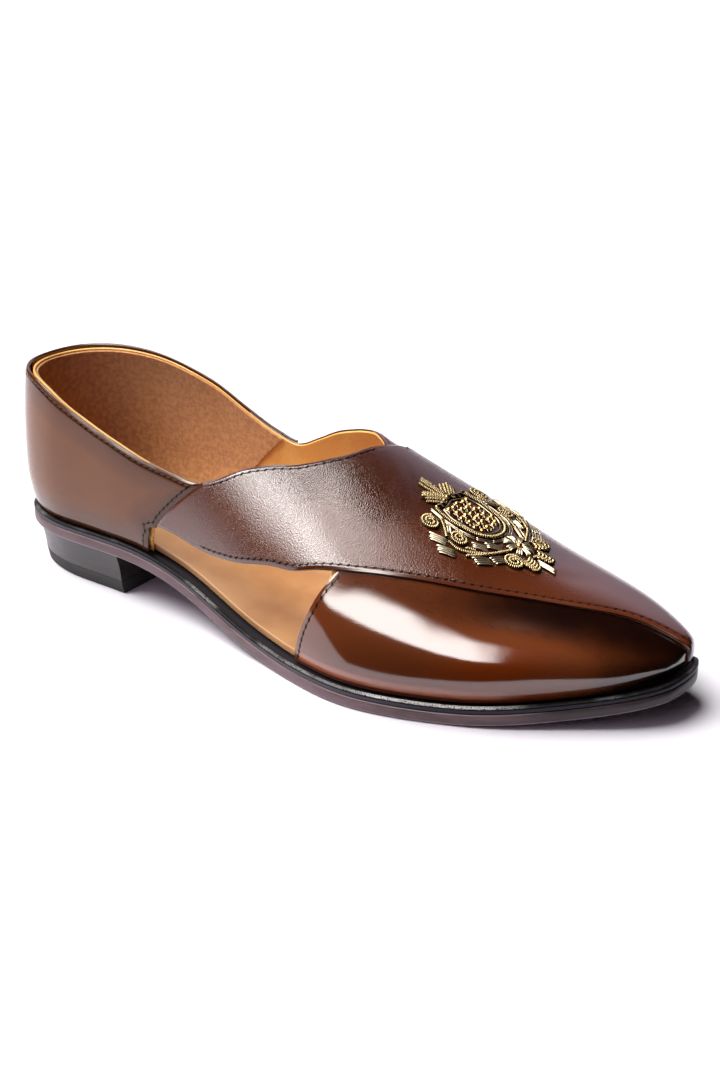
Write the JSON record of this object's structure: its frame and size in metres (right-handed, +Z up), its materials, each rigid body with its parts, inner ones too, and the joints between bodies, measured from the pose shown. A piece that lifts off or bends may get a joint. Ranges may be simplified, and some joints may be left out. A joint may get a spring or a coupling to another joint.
{
  "type": "embroidered slip-on shoe",
  "caption": "Right leather slip-on with crossed front panels, open sides, a closed heel and a raised gold-thread crest on the vamp, on a low heel.",
  "frame": {"origin": "under the middle of the shoe's bounding box, on the floor that it stands on", "axes": "+X from heel to toe, +Y towards the medial (inner) side, +Z up"},
  "size_m": [0.2912, 0.1022, 0.0823],
  "materials": {
    "outsole": "satin dark purple-brown edge dressing",
    "welt": "gloss black with a worn silvery rim",
    "insole": "smooth light tan",
    "heel_block": "satin black, stacked",
    "heel_top_lift": "matte black",
    "upper": "glossy burnished brown outside, tan inside",
    "over_panel": "satin pebble-grained red-brown",
    "heel_counter": "glossy orange-brown",
    "embroidered_motif": "antique gold coiled metal thread"
  },
  "bodies": {
    "root": {"outsole": "outsole", "welt": "welt", "insole": "insole", "heel_block": "heel_block", "heel_top_lift": "heel_top_lift", "upper": "upper", "over_panel": "over_panel", "heel_counter": "heel_counter", "embroidered_motif": "embroidered_motif"}
  },
  "joints": []
}
